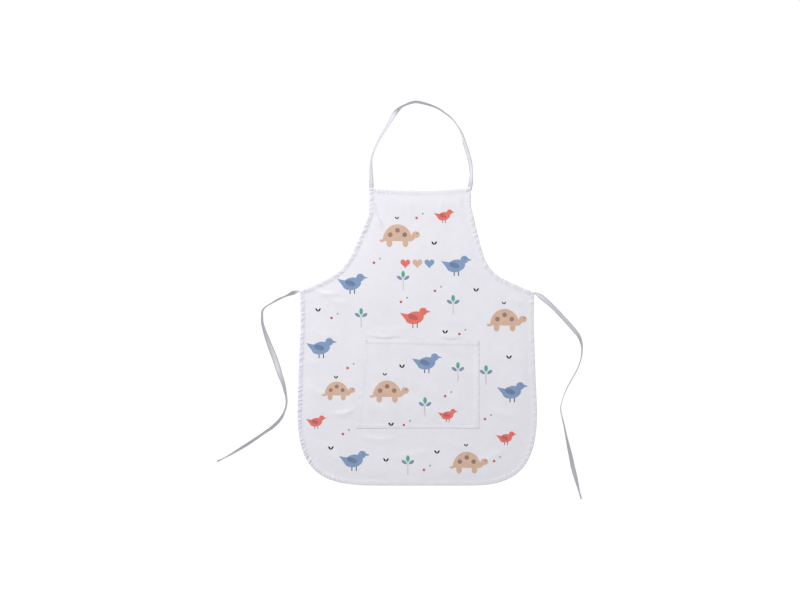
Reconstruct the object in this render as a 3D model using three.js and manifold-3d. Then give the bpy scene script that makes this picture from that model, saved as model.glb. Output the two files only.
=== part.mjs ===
// A cotton bib apron laid flat, printed side up: body cloth, hems, patch pocket, neck tape and two ties.
// Millimetres. +X to the right of the printed front, +Y towards the neck, +Z up from the printed side.
// The origin is the centre of the cloth and neck tape's box, on the surface that the apron lies on.

import * as THREE from 'three';
import { mergeVertices } from 'three/addons/utils/BufferGeometryUtils.js';
import Module from 'manifold-3d';

const wasm = await Module();
wasm.setup();

// ---- Driving dimensions ------------------------------------------------------------------------------

// The cloth and the neck tape together are 1054 mm from the lower hem to the top of the loop.
const HALF_LENGTH = 527;
const HEM_Y = -HALF_LENGTH;

// The two halves are not quite a mirrored pair, because the bib lies a little to the right.
// Pulls are the handle lengths of a curve's two ends: out and down at the bib, in and up at the waist,
// and for the lower corners down from the side and back from the bottom.
const ARMHOLES = {
  left: { bib: [-131.5, 288.5], startY: 217, waist: [-321, 6], bibPull: [60, 136], waistPull: [142, 55] },
  right: { bib: [148, 290.5], startY: 239, waist: [321, 2], bibPull: [45, 193], waistPull: [140, 59] },
};
const BIB_TOP_PULL = [25, 273];
const SIDES = {
  left: [[-319, -80], [-324, -205]],
  right: [[320, -80], [324, -205]],
};
const CORNERS = {
  left: { side: [-327.5, -330], bottomX: -100, sidePull: 180, bottomPull: 140 },
  right: { side: [329, -320], bottomX: 150, sidePull: 140, bottomPull: 140 },
};

// The bib folds forward over the skirt along this line, just above the ties.
const WAIST_FOLD_Y = 20;

// Cloth layers: a panel is one layer and a turned hem is two more folded under it.
const PANEL_THICKNESS = 1.2;
const HEM_THICKNESS = 2.4;
const HEM_WIDTH = 11;
const THREAD_WIDTH = 0.9;
const THREAD_HEIGHT = 0.4;
const THREAD_FROM_HEM_LINE = 2;
const GAP = 0.3;
const LAYER_GAP = 0.1;

// The patch pocket: corners counterclockwise from the lower left, with a real hollow behind it.
const POCKET_CORNERS = [[-168, -370], [170, -371], [170, -131], [-143, -126]];
const POCKET_EDGE_WIDTH = 8;
const POCKET_HOLLOW_HEIGHT = 5;
const POCKET_CLOTH = 1;
const POCKET_HEM_WIDTH = 11;

// Tapes: each route point is [x, y, turn]. Turn 0 lies flat, 90 stands on the right edge, -90 on the left.
const TIE_WIDTH = 15;
const NECK_TAPE_WIDTH = 12;
const TAPE_THICKNESS = 1.2;
const TIE_ROOT_SHARE = 0.35;
const TIE_ROOT_LENGTH = 22;
const TIE_END_HEM = 12;
const STEPS_PER_SPAN = 3;

const NECK_TAPE_ROUTE = [
  [-125, 290, 0], [-125, 312, -30], [-126, 344, -45], [-125, 365, -60], [-121, 382, -64],
  [-114, 400, -63], [-100, 428, -58], [-87, 449, -45], [-72, 474, -28], [-62, 491, -8],
  [-51, 503, 40], [-39, 512, 68], [-20, 520, 64], [-1, 523.5, 58], [28, 517, 64],
  [53, 508, 74], [74, 495, 76], [95, 478, 80], [110, 459, 80], [123, 436, 70],
  [131, 409, 36], [139, 384, 33], [146, 354, 30], [149, 323, 42], [145.5, 292, 0],
];
const LEFT_TIE_ROUTE = [
  [-326, 5, 0], [-341, 0, -45], [-359, -8, -74], [-378, -16, -72], [-397, -27, -78],
  [-415, -38, -80], [-423, -49, -74], [-424, -62, -73], [-423, -83, -65], [-418, -101, -58],
  [-411, -122, -42], [-402, -146, -30], [-392, -172, -8], [-383, -198, -6], [-375, -223, -30],
  [-366, -248, -48], [-359, -278, -70], [-357, -301, -76], [-363, -325, -72], [-375, -346, -58],
  [-395, -366, -54], [-418, -382, -62], [-441, -398, -60], [-462, -412, -57], [-483, -425, -60],
  [-501, -436, -68], [-520, -447, -76], [-535, -454.5, -78], [-547, -460, -75],
];
const RIGHT_TIE_ROUTE = [
  [325, -1, 0], [341, -11, -20], [369, -35, -36], [400, -67, -38], [430, -101, -40],
  [444, -120, -48], [451, -145, -66], [450, -172, -74], [442, -200, -76], [430, -224, -76],
  [416, -249, -76], [404, -274, -78], [396, -298, -80], [393, -316, -78], [396, -335, -76],
  [403, -365, -70], [409, -395, -63], [415, -422, -50], [421, -448, -42], [426, -473, -37],
  [433, -500, -42], [440, -527, -60], [444, -543, -70], [449, -563, -76],
];

// Colours and finishes of the cloth, the tapes and the sewing thread.
const CLOTH = { color: 0xe8e8ef, roughness: 0.9 };
const TAPE = { color: 0xf0eff4, roughness: 0.85 };
const THREAD = { color: 0xf6f6fa, roughness: 0.7 };

// ---- Small helpers -----------------------------------------------------------------------------------

const apron = new THREE.Group();

function addPiece(name, geometry, finish) {
  const material = new THREE.MeshStandardMaterial({ ...finish, metalness: 0 });
  const mesh = new THREE.Mesh(geometry, material);
  mesh.name = name;
  apron.add(mesh);
  return mesh;
}

const point = (x, y) => new THREE.Vector2(x, y);

/** A plate with the given outline, from one height to another. */
function plate(outline, bottom, top) {
  const shape = new THREE.Shape(outline);
  const geometry = new THREE.ExtrudeGeometry(shape, { depth: top - bottom, bevelEnabled: false });
  return geometry.translate(0, 0, bottom);
}

/** The outline moved inwards by a distance, one new point for each old one, with mitred corners. */
function inset(outline, distance) {
  const last = outline.length - 1;
  return outline.map((corner, i) => {
    const before = corner.clone().sub(outline[i === 0 ? last : i - 1]).normalize();
    const after = outline[i === last ? 0 : i + 1].clone().sub(corner).normalize();
    const inward = point(-before.y - after.y, before.x + after.x).normalize();
    const cosine = -inward.x * after.y + inward.y * after.x;
    return corner.clone().addScaledVector(inward, distance / cosine);
  });
}

/** A strip along one stretch of an edge, between two distances from it, with its ends drawn in a little. */
function strip(outline, first, last, near, far, endGap) {
  const outer = inset(outline, near).slice(first, last + 1);
  const inner = inset(outline, far).slice(first, last + 1);
  const drawIn = (line) => {
    const end = line.length - 1;
    const forward = line[1].clone().sub(line[0]).normalize();
    const back = line[end - 1].clone().sub(line[end]).normalize();
    const moved = line.map((p) => p.clone());
    moved[0].addScaledVector(forward, endGap);
    moved[end].addScaledVector(back, endGap);
    return moved;
  };
  return [...drawIn(outer), ...drawIn(inner).reverse()];
}

/** Turns a closed geometry into a solid that can be joined and cut. */
function toSolid(geometry) {
  const bare = geometry.clone();
  bare.deleteAttribute('normal');
  bare.deleteAttribute('uv');
  const merged = mergeVertices(bare, 1e-4);
  const vertProperties = new Float32Array(merged.attributes.position.array);
  const triVerts = new Uint32Array(merged.index.array);
  return new wasm.Manifold(new wasm.Mesh({ numProp: 3, vertProperties, triVerts }));
}

function toGeometry(solid) {
  const mesh = solid.getMesh();
  const geometry = new THREE.BufferGeometry();
  geometry.setAttribute('position', new THREE.BufferAttribute(new Float32Array(mesh.vertProperties), 3));
  geometry.setIndex(new THREE.BufferAttribute(new Uint32Array(mesh.triVerts), 1));
  geometry.computeVertexNormals();
  return geometry;
}

/** A block that covers everything between two heights of Y. */
function slabBetween(low, high) {
  const block = new THREE.BoxGeometry(4 * HALF_LENGTH, high - low, 100);
  return toSolid(block.translate(0, (low + high) / 2, 0));
}

const ABOVE_FOLD = slabBetween(WAIST_FOLD_Y + GAP / 2, 2 * HALF_LENGTH);
const BELOW_FOLD = slabBetween(-2 * HALF_LENGTH, WAIST_FOLD_Y - GAP / 2);

function clipped(geometry, keep) {
  return toGeometry(toSolid(geometry).intersect(keep));
}

// ---- The body's outline, counterclockwise from the right waist corner ---------------------------------

function armholeCurve({ bib, startY, waist, bibPull, waistPull }) {
  const outward = Math.sign(waist[0]);
  return new THREE.CubicBezierCurve(
    point(bib[0], startY),
    point(bib[0] + outward * bibPull[0], startY - bibPull[1]),
    point(waist[0] - outward * waistPull[0], waist[1] + waistPull[1]),
    point(...waist),
  );
}

/** A lower corner, from the side down to the bottom. */
function cornerCurve({ side, bottomX, sidePull, bottomPull }) {
  return new THREE.CubicBezierCurve(
    point(...side),
    point(side[0], side[1] - sidePull),
    point(bottomX + Math.sign(bottomX) * bottomPull, HEM_Y),
    point(bottomX, HEM_Y),
  );
}

const ARMHOLE_STEPS = 16;
const CORNER_STEPS = 14;
const TOP_STEPS = 8;

const bibTop = new THREE.QuadraticBezierCurve(
  point(...ARMHOLES.right.bib), point(...BIB_TOP_PULL), point(...ARMHOLES.left.bib),
);
const sidePoints = (side) => SIDES[side].map((place) => point(...place));

const stretches = {
  rightArmhole: armholeCurve(ARMHOLES.right).getPoints(ARMHOLE_STEPS).reverse(),
  bibTop: bibTop.getPoints(TOP_STEPS),
  leftArmhole: armholeCurve(ARMHOLES.left).getPoints(ARMHOLE_STEPS),
  leftSide: sidePoints('left'),
  bottom: [
    ...cornerCurve(CORNERS.left).getPoints(CORNER_STEPS),
    ...cornerCurve(CORNERS.right).getPoints(CORNER_STEPS).reverse(),
  ],
  rightSide: sidePoints('right').reverse(),
};

const bodyOutline = Object.values(stretches).flat();

/** Where a stretch's first and last points stand in the outline. */
function span(name) {
  const names = Object.keys(stretches);
  const before = names.slice(0, names.indexOf(name));
  const first = before.reduce((total, each) => total + stretches[each].length, 0);
  return [first, first + stretches[name].length - 1];
}

// Each armhole hem runs on to the bib corner, where it meets the top hem in a mitre.
const topSpan = span('bibTop');
const rightArmholeSpan = [span('rightArmhole')[0], topSpan[0]];
const leftArmholeSpan = [topSpan[1], span('leftArmhole')[1]];
const bottomSpan = span('bottom');
const leftSideSpan = [leftArmholeSpan[1], bottomSpan[0]];

// The outline closes at the right waist corner, so the right side ends one past the last point.
const rightSideSpan = [bottomSpan[1], bodyOutline.length];

/** The strip for a stretch, taken from the outline turned so that the stretch doesn't cross its end. */
function bodyStrip([first, last], near, far, endGap) {
  const count = bodyOutline.length;
  const turn = first > count / 2 ? Math.floor(count / 2) : 0;
  const turned = [...bodyOutline.slice(turn), ...bodyOutline.slice(0, turn)];
  return strip(turned, first - turn, last - turn, near, far, endGap);
}

// ---- Body cloth: skirt and bib, with the fold line between them ---------------------------------------

const panelPlate = plate(inset(bodyOutline, HEM_WIDTH + GAP), 0, PANEL_THICKNESS);
addPiece('skirt_panel', clipped(panelPlate, BELOW_FOLD), CLOTH);
addPiece('bib_panel', clipped(panelPlate, ABOVE_FOLD), CLOTH);

// ---- Turned hems and their seams ----------------------------------------------------------------------

const THREAD_LOW = HEM_THICKNESS + LAYER_GAP;
const SEAM_NEAR = HEM_WIDTH - THREAD_FROM_HEM_LINE - THREAD_WIDTH;
const SEAM_FAR = SEAM_NEAR + THREAD_WIDTH;
const SEAM_END_GAP = 3;

const hemPlate = (stretch) => plate(bodyStrip(stretch, 0, HEM_WIDTH, GAP / 2), 0, HEM_THICKNESS);
const seamPlate = (stretch) => plate(
  bodyStrip(stretch, SEAM_NEAR, SEAM_FAR, SEAM_END_GAP),
  THREAD_LOW,
  THREAD_LOW + THREAD_HEIGHT,
);

addPiece('bib_top_hem', hemPlate(topSpan), CLOTH);
addPiece('left_side_hem', hemPlate(leftSideSpan), CLOTH);
addPiece('right_side_hem', hemPlate(rightSideSpan), CLOTH);
addPiece('bottom_hem', hemPlate(bottomSpan), CLOTH);
addPiece('bib_top_seam', seamPlate(topSpan), THREAD);
addPiece('left_side_seam', seamPlate(leftSideSpan), THREAD);
addPiece('right_side_seam', seamPlate(rightSideSpan), THREAD);
addPiece('bottom_seam', seamPlate(bottomSpan), THREAD);

// The armhole hem's last stretch, below the fold, is the casing that the tie is sewn into.
for (const [side, stretch] of [['left', leftArmholeSpan], ['right', rightArmholeSpan]]) {
  addPiece(`${side}_armhole_hem`, clipped(hemPlate(stretch), ABOVE_FOLD), CLOTH);
  addPiece(`${side}_tie_casing`, clipped(hemPlate(stretch), BELOW_FOLD), CLOTH);
  addPiece(`${side}_armhole_seam`, clipped(seamPlate(stretch), ABOVE_FOLD), THREAD);
}

// ---- Bar tacks: short dense blocks of thread where something is sewn on ---------------------------------

const BAR_TACK = { length: 11, width: 2.6, height: 0.6 };

function addBarTack(name, x, y, angle, low) {
  const block = new THREE.BoxGeometry(BAR_TACK.length, BAR_TACK.width, BAR_TACK.height);
  const mesh = addPiece(name, block, THREAD);
  mesh.position.set(x, y, low + BAR_TACK.height / 2);
  mesh.rotation.z = angle;
  return mesh;
}

const tapeEnds = { left: NECK_TAPE_ROUTE[0], right: NECK_TAPE_ROUTE[NECK_TAPE_ROUTE.length - 1] };
const ABOVE_SEAM = THREAD_LOW + THREAD_HEIGHT + LAYER_GAP;
const NECK_TACK_DROP = 7;
const TIE_TACK_IN = 12;
for (const side of ['left', 'right']) {
  const { waist } = ARMHOLES[side];
  const inward = -Math.sign(waist[0]);
  addBarTack(`${side}_neck_bar_tack`, tapeEnds[side][0], tapeEnds[side][1] - NECK_TACK_DROP, 0, ABOVE_SEAM);
  addBarTack(`${side}_tie_bar_tack`, waist[0] + inward * TIE_TACK_IN, waist[1] - 1, Math.PI / 2, THREAD_LOW);
}

// ---- Patch pocket ---------------------------------------------------------------------------------------

const pocketOutline = POCKET_CORNERS.map((corner) => point(...corner));

// Start the outline at the mouth's left corner, so that the sewn sides and bottom are one stretch.
const pocketLoop = [pocketOutline.at(-1), ...pocketOutline.slice(0, -1)];
const sewnEdge = [0, pocketLoop.length - 1];
const pocketFloor = PANEL_THICKNESS + LAYER_GAP;
const pocketFrontLow = pocketFloor + POCKET_HOLLOW_HEIGHT;
const pocketFrontTop = pocketFrontLow + POCKET_CLOTH;

// The turned edge is a U that is sewn down to the skirt on three sides and frames the hollow.
const edgeSeamNear = POCKET_EDGE_WIDTH / 2;
addPiece('pocket_edge', plate(
  strip(pocketLoop, ...sewnEdge, 0, POCKET_EDGE_WIDTH, 0), pocketFloor, pocketFrontTop,
), CLOTH);
addPiece('pocket_edge_seam', plate(
  strip(pocketLoop, ...sewnEdge, edgeSeamNear, edgeSeamNear + THREAD_WIDTH, POCKET_HEM_WIDTH + 2),
  pocketFrontTop + LAYER_GAP,
  pocketFrontTop + LAYER_GAP + THREAD_HEIGHT,
), THREAD);

// The front bridges the frame and leaves its top side open, so things go in at the mouth.
const frontOutline = inset(pocketLoop, POCKET_EDGE_WIDTH + GAP);
addPiece('pocket_front', plate(frontOutline, pocketFrontLow, pocketFrontTop), CLOTH);

/** A strip across the pocket, just below its mouth. */
function mouthStrip(below, width, endIn) {
  const [start, end] = [frontOutline[0], frontOutline.at(-1)];
  const across = end.clone().sub(start).normalize();
  const down = point(across.y, -across.x);
  const from = (corner, along, depth) => corner.clone()
    .addScaledVector(across, along)
    .addScaledVector(down, depth);
  return [
    from(start, endIn, below + width), from(end, -endIn, below + width),
    from(end, -endIn, below), from(start, endIn, below),
  ];
}

const mouthHemTop = pocketFrontTop + LAYER_GAP + POCKET_CLOTH;
addPiece('pocket_mouth_hem', plate(
  mouthStrip(0, POCKET_HEM_WIDTH, 0), pocketFrontTop + LAYER_GAP, mouthHemTop,
), CLOTH);
addPiece('pocket_mouth_seam', plate(
  mouthStrip(POCKET_HEM_WIDTH - THREAD_FROM_HEM_LINE - THREAD_WIDTH, THREAD_WIDTH, 2),
  mouthHemTop + LAYER_GAP,
  mouthHemTop + LAYER_GAP + THREAD_HEIGHT,
), THREAD);

const POCKET_TACK_DROP = 7;
const tackInset = POCKET_EDGE_WIDTH / 2;
for (const [side, corner, inward] of [['left', pocketLoop[0], 1], ['right', pocketLoop.at(-1), -1]]) {
  addBarTack(
    `${side}_pocket_bar_tack`,
    corner.x + inward * tackInset,
    corner.y - POCKET_TACK_DROP,
    Math.PI / 2,
    pocketFrontTop + LAYER_GAP,
  );
}

// ---- Tapes: flat ribbons that lie down in places and stand on their edge in others ----------------------

/** The cross-section of a tape or of a layer on it: an oblong with eased corners, from low to high. */
function tapeSection(width, low, high) {
  const half = width / 2;
  const ease = (high - low) * 0.3;
  return [
    [half, low + ease], [half, high - ease], [half - ease, high], [ease - half, high],
    [-half, high - ease], [-half, low + ease], [ease - half, low], [half - ease, low],
  ];
}

/** Even places along a tape's route, each with its heading, its turn and how far along it is. */
function tapeStations(route) {
  const curve = new THREE.CatmullRomCurve3(
    route.map(([x, y, turn]) => new THREE.Vector3(x, y, turn)), false, 'catmullrom', 0.5,
  );
  const steps = STEPS_PER_SPAN * (route.length - 1);
  const places = Array.from({ length: steps + 1 }, (_, i) => curve.getPoint(i / steps));
  let travelled = 0;
  return places.map((place, i) => {
    const ahead = places[Math.min(i + 1, steps)];
    const behind = places[Math.max(i - 1, 0)];
    travelled += i === 0 ? 0 : Math.hypot(place.x - behind.x, place.y - behind.y);
    return {
      place,
      heading: point(ahead.x - behind.x, ahead.y - behind.y).normalize(),
      turn: THREE.MathUtils.degToRad(place.z),
      travelled,
    };
  });
}

/** A closed ribbon on the stations, between two levels of the tape, which rests on the surface. */
function ribbon(stations, widthAt, low, high) {
  const positions = [];
  for (const { place, heading, turn, travelled } of stations) {
    const [cos, sin] = [Math.cos(turn), Math.sin(turn)];
    const heightOf = ([across, up]) => across * sin + up * cos;
    const tape = tapeSection(widthAt(travelled), -TAPE_THICKNESS / 2, TAPE_THICKNESS / 2);
    const lift = -Math.min(...tape.map(heightOf));
    for (const [across, up] of tapeSection(widthAt(travelled), low, high)) {
      const sideways = across * cos - up * sin;
      positions.push(place.x - heading.y * sideways, place.y + heading.x * sideways);
      positions.push(lift + heightOf([across, up]));
    }
  }
  const sides = tapeSection(1, 0, 1).length;
  const index = [];
  for (let i = 0; i < stations.length - 1; i += 1) {
    for (let k = 0; k < sides; k += 1) {
      const [a, b] = [i * sides + k, i * sides + ((k + 1) % sides)];
      index.push(a, b, a + sides, b, b + sides, a + sides);
    }
  }
  for (let k = 1; k < sides - 1; k += 1) {
    const end = (stations.length - 1) * sides;
    index.push(0, k + 1, k, end, end + k, end + k + 1);
  }
  const geometry = new THREE.BufferGeometry();
  geometry.setAttribute('position', new THREE.Float32BufferAttribute(positions, 3));
  geometry.setIndex(index);
  geometry.computeVertexNormals();
  return geometry;
}

const tapeGeometry = (route, widthAt) => (
  ribbon(tapeStations(route), widthAt, -TAPE_THICKNESS / 2, TAPE_THICKNESS / 2)
);

/** A tie starts pleated narrow in its casing and opens to its full width. */
function tieWidth(travelled) {
  const share = TIE_ROOT_SHARE + (1 - TIE_ROOT_SHARE) * (travelled / TIE_ROOT_LENGTH);
  return TIE_WIDTH * Math.min(1, share);
}

/** A tie, and the turned layer that lies on the last of its length. */
function addTie(side, route) {
  addPiece(`${side}_waist_tie`, tapeGeometry(route, tieWidth), TAPE);
  const stations = tapeStations(route);
  const end = stations.at(-1).travelled;
  const turned = stations.filter(({ travelled }) => travelled > end - TIE_END_HEM);
  const low = TAPE_THICKNESS / 2 + GAP;
  addPiece(`${side}_tie_end_hem`, ribbon(turned, tieWidth, low, low + TAPE_THICKNESS), TAPE);
}

addPiece('neck_tape', tapeGeometry(NECK_TAPE_ROUTE, () => NECK_TAPE_WIDTH), TAPE);
addTie('left', LEFT_TIE_ROUTE);
addTie('right', RIGHT_TIE_ROUTE);

export default apron;
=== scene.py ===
# %% [markdown]
# # A printed bib apron, laid flat
# The real thing is a light cotton apron: one cut cloth with turned and stitched hems, a patch pocket,
# a neck tape and two waist ties. It lies printed side up on a table and is seen from straight above.
# A sheet this thin has no shape of its own, so its looks come from small heights: the step of a hem,
# the ripples that sewing leaves, and a few soft creases. They are all worked out by one height
# function, and every piece that lies on the cloth asks that function where the cloth is.

# %% Load the frame and keep its box
import math

import bpy
import numpy as np
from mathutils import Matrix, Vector
from mathutils.geometry import delaunay_2d_cdt


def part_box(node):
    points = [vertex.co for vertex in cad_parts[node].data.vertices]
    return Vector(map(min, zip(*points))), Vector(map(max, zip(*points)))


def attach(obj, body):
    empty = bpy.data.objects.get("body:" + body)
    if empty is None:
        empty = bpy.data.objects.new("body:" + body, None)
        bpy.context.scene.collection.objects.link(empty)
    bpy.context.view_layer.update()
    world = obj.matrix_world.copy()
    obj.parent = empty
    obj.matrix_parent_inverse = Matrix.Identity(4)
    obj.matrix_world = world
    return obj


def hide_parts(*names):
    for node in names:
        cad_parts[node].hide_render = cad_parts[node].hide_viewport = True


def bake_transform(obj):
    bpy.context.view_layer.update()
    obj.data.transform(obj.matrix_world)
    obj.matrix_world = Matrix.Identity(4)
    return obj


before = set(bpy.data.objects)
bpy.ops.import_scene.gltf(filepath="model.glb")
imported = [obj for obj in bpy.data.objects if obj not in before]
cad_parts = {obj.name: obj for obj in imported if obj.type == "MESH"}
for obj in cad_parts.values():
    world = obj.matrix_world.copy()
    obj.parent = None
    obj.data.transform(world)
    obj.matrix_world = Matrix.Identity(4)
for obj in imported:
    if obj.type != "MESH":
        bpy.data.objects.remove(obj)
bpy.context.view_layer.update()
MM = 0.001

# %% [markdown]
# ## Camera
# The apron is looked at from straight above, so the lens hardly matters for flat cloth. A long one
# is used because it keeps the standing edges of the tapes from leaning outwards.

# %% Camera
LENS_MM = 85
SENSOR_MM = 36
SEEN_WIDTH = 2.192
VIEW_CENTRE = (-0.0466, -0.0188)

camera_data = bpy.data.cameras.new("camera")
camera_data.lens = LENS_MM
camera_data.sensor_width = SENSOR_MM
camera_data.clip_end = 50
camera = bpy.data.objects.new("camera", camera_data)
camera.location = (*VIEW_CENTRE, SEEN_WIDTH * LENS_MM / SENSOR_MM)
bpy.context.scene.collection.objects.link(camera)
bpy.context.scene.camera = camera
print("camera height, m:", round(camera.location.z, 3))

# %% [markdown]
# ## Small helpers
# Meshes are made from plain arrays of points and faces, because their shapes follow formulas.
# `smooth_line` turns a few given points into a flowing line, the way a spline does.

# %% Helpers for lines and meshes
def smooth_line(points, steps):
    """A Catmull-Rom line through the points, with this many steps between each two of them."""
    given = np.array(points, float)
    padded = np.vstack([2 * given[0] - given[1], given, 2 * given[-1] - given[-2]])
    t = (np.arange(steps) / steps)[:, None]
    spans = []
    for a, b, c, d in zip(padded, padded[1:], padded[2:], padded[3:]):
        spans.append(0.5 * (2 * b + (c - a) * t + (2 * a - 5 * b + 4 * c - d) * t**2
                            + (3 * b - 3 * c + d - a) * t**3))
    return np.vstack([*spans, given[-1:]])


def lengths_along(line):
    """How far along the line each of its points is."""
    steps = np.linalg.norm(np.diff(line, axis=0), axis=1)
    return np.concatenate([[0], np.cumsum(steps)])


def evenly(line, step):
    """The same line with its points an even step apart."""
    travelled = lengths_along(line)
    count = max(2, int(round(travelled[-1] / step)) + 1)
    wanted = np.linspace(0, travelled[-1], count)
    return np.column_stack([np.interp(wanted, travelled, column) for column in line.T])


def make_piece(name, points, faces, material=None, edges=()):
    """A new mesh object at the origin, with its place in its mesh."""
    mesh = bpy.data.meshes.new(name)
    mesh.from_pydata([tuple(p) for p in points], list(edges), [tuple(f) for f in faces])
    mesh.polygons.foreach_set("use_smooth", [True] * len(mesh.polygons))
    if material is not None:
        mesh.materials.append(material)
    piece = bpy.data.objects.new(name, mesh)
    bpy.context.scene.collection.objects.link(piece)
    return piece


def unit(vectors):
    return vectors / np.linalg.norm(vectors, axis=1)[:, None]


def left_of(ways):
    """Directions turned a quarter to their left."""
    return np.column_stack([-ways[:, 1], ways[:, 0]])


def from_above(mesh):
    """The x and y of each point of a mesh."""
    return np.array([v.co[:2] for v in mesh.vertices])


def smoothstep(low, high, value):
    t = np.clip((value - low) / (high - low), 0, 1)
    return t * t * (3 - 2 * t)


CLOTH_MAP = "cloth"
SHADE = "shade"


def tube_faces(rows, ring):
    """Faces that join rings of points, row after row, into a tube with a cap at each end."""
    faces = [(i * ring + k, (i + 1) * ring + k, (i + 1) * ring + (k + 1) % ring, i * ring + (k + 1) % ring)
             for i in range(rows - 1) for k in range(ring)]
    last = (rows - 1) * ring
    return faces + [tuple(range(ring)), tuple(last + k for k in reversed(range(ring)))]


def set_flat_places(piece, flat):
    """Write the cloth's map, which holds the flat place of each point in metres."""
    corners = np.array([loop.vertex_index for loop in piece.data.loops])
    uv = piece.data.uv_layers.new(name=CLOTH_MAP)
    uv.data.foreach_set("uv", flat[corners].astype(np.float32).ravel())


def set_shade(piece, values):
    """Write the attribute that the shaded finishes read, one value for each point."""
    shade = piece.data.attributes.new(SHADE, "FLOAT", "POINT")
    shade.data.foreach_set("value", np.asarray(values, np.float32))


# %% [markdown]
# ## Shared shader groups
# Two effects are used by more than one material, so each is a node group that is built once: the
# weave (two crossing wave patterns) and the mottle that keeps white cloth from looking like plastic,
# which at a fine scale also lets some threads show through printed ink. The groups only put out
# heights and masks. The Principled shader stays in each material, where its own sockets hold what is
# uniform.

# %% A maker of node groups
def new_group(name, inputs, outputs):
    """An empty shader group with float inputs that have defaults, and float outputs."""
    group = bpy.data.node_groups.new(name, "ShaderNodeTree")
    for label, kind, value in inputs:
        socket = group.interface.new_socket(label, in_out="INPUT", socket_type=kind)
        if value is not None:
            socket.default_value = value
    for label in outputs:
        group.interface.new_socket(label, in_out="OUTPUT", socket_type="NodeSocketFloat")
    start = group.nodes.new("NodeGroupInput")
    end = group.nodes.new("NodeGroupOutput")
    return group, start, end


def connect(tree, *wires):
    """Link nodes, each wire being a node, its output, another node and its input."""
    for source, output, target, slot in wires:
        tree.links.new(source.outputs[output], target.inputs[slot])


def set_inputs(node, values):
    for label, value in values.items():
        node.inputs[label].default_value = value


def feed(tree, slot, value):
    """Give an input either a link from a socket or a plain value."""
    if hasattr(value, "links"):
        tree.links.new(value, slot)
    else:
        slot.default_value = value


def math_node(tree, operation, *values):
    """One arithmetic node, each input either a socket or a number."""
    node = tree.nodes.new("ShaderNodeMath")
    node.operation = operation
    for slot, value in zip(node.inputs, values):
        feed(tree, slot, value)
    return node.outputs[0]


# %% The weave group
weave_group, weave_in, weave_out = new_group(
    "Plain weave",
    [("Vector", "NodeSocketVector", None), ("Threads per metre", "NodeSocketFloat", 1400.0)],
    ["Height"],
)
weave_scale = weave_group.nodes.new("ShaderNodeVectorMath")
weave_scale.operation = "SCALE"
weave_split = weave_group.nodes.new("ShaderNodeSeparateXYZ")
connect(weave_group, (weave_in, "Vector", weave_scale, "Vector"),
        (weave_in, "Threads per metre", weave_scale, "Scale"),
        (weave_scale, "Vector", weave_split, "Vector"))
weave_waves = [
    math_node(weave_group, "SINE", math_node(weave_group, "MULTIPLY", weave_split.outputs[axis], math.pi))
    for axis in ("X", "Y")
]
weave_cross = math_node(weave_group, "MULTIPLY", weave_waves[0], weave_waves[1])
weave_height = math_node(weave_group, "MULTIPLY_ADD", weave_cross, 0.5, 0.5)
weave_group.links.new(weave_height, weave_out.inputs["Height"])
print("weave group nodes:", len(weave_group.nodes))

# %% The mottle group
mottle_group, mottle_in, mottle_out = new_group(
    "Cloth mottle",
    [("Vector", "NodeSocketVector", None), ("Scale", "NodeSocketFloat", 60.0),
     ("Low", "NodeSocketFloat", 0.0), ("High", "NodeSocketFloat", 1.0)],
    ["Mask"],
)
mottle_noise = mottle_group.nodes.new("ShaderNodeTexNoise")
mottle_range = mottle_group.nodes.new("ShaderNodeMapRange")
set_inputs(mottle_noise, {"Detail": 4, "Roughness": 0.6})
set_inputs(mottle_range, {"From Min": 0.3, "From Max": 0.7})
connect(mottle_group, (mottle_in, "Vector", mottle_noise, "Vector"),
        (mottle_in, "Scale", mottle_noise, "Scale"), (mottle_noise, "Fac", mottle_range, "Value"),
        (mottle_in, "Low", mottle_range, "To Min"), (mottle_in, "High", mottle_range, "To Max"),
        (mottle_range, "Result", mottle_out, "Mask"))
print("mottle group nodes:", len(mottle_group.nodes))

# %% [markdown]
# ## Cloth, tape, thread and ink materials
# Each is the same kind of shader: a Principled with a colour that wanders between two near tones,
# a weave in its bump, and soft sheen, because loose fibre ends catch light at a grazing angle.
# The pattern follows the cloth and not the room, so it reads a UV map called "cloth" that holds the
# flat place of each point in metres. When the bib folds, its print and weave fold with it.
# Two finishes also read an attribute called "shade". On the cloth it gives a band along the hem a darker
# lavender tint. On a tape it is painted shade: both edges are darker, where a folded tape shades itself,
# and the tape greys where it stands on edge. That tone is painted on, and isn't the lamp's.

# %% One function for all the textile finishes
INK_SPECKLE_SCALE = 1600.0


def mix_node(tree, factor, first, second):
    """One colour mix, each colour either a socket or three numbers."""
    node = tree.nodes.new("ShaderNodeMix")
    node.data_type = "RGBA"
    tree.links.new(factor, node.inputs[0])
    for slot, value in zip(node.inputs[6:8], (first, second)):
        feed(tree, slot, (*value, 1) if isinstance(value, tuple) else value)
    return node.outputs[2]


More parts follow.
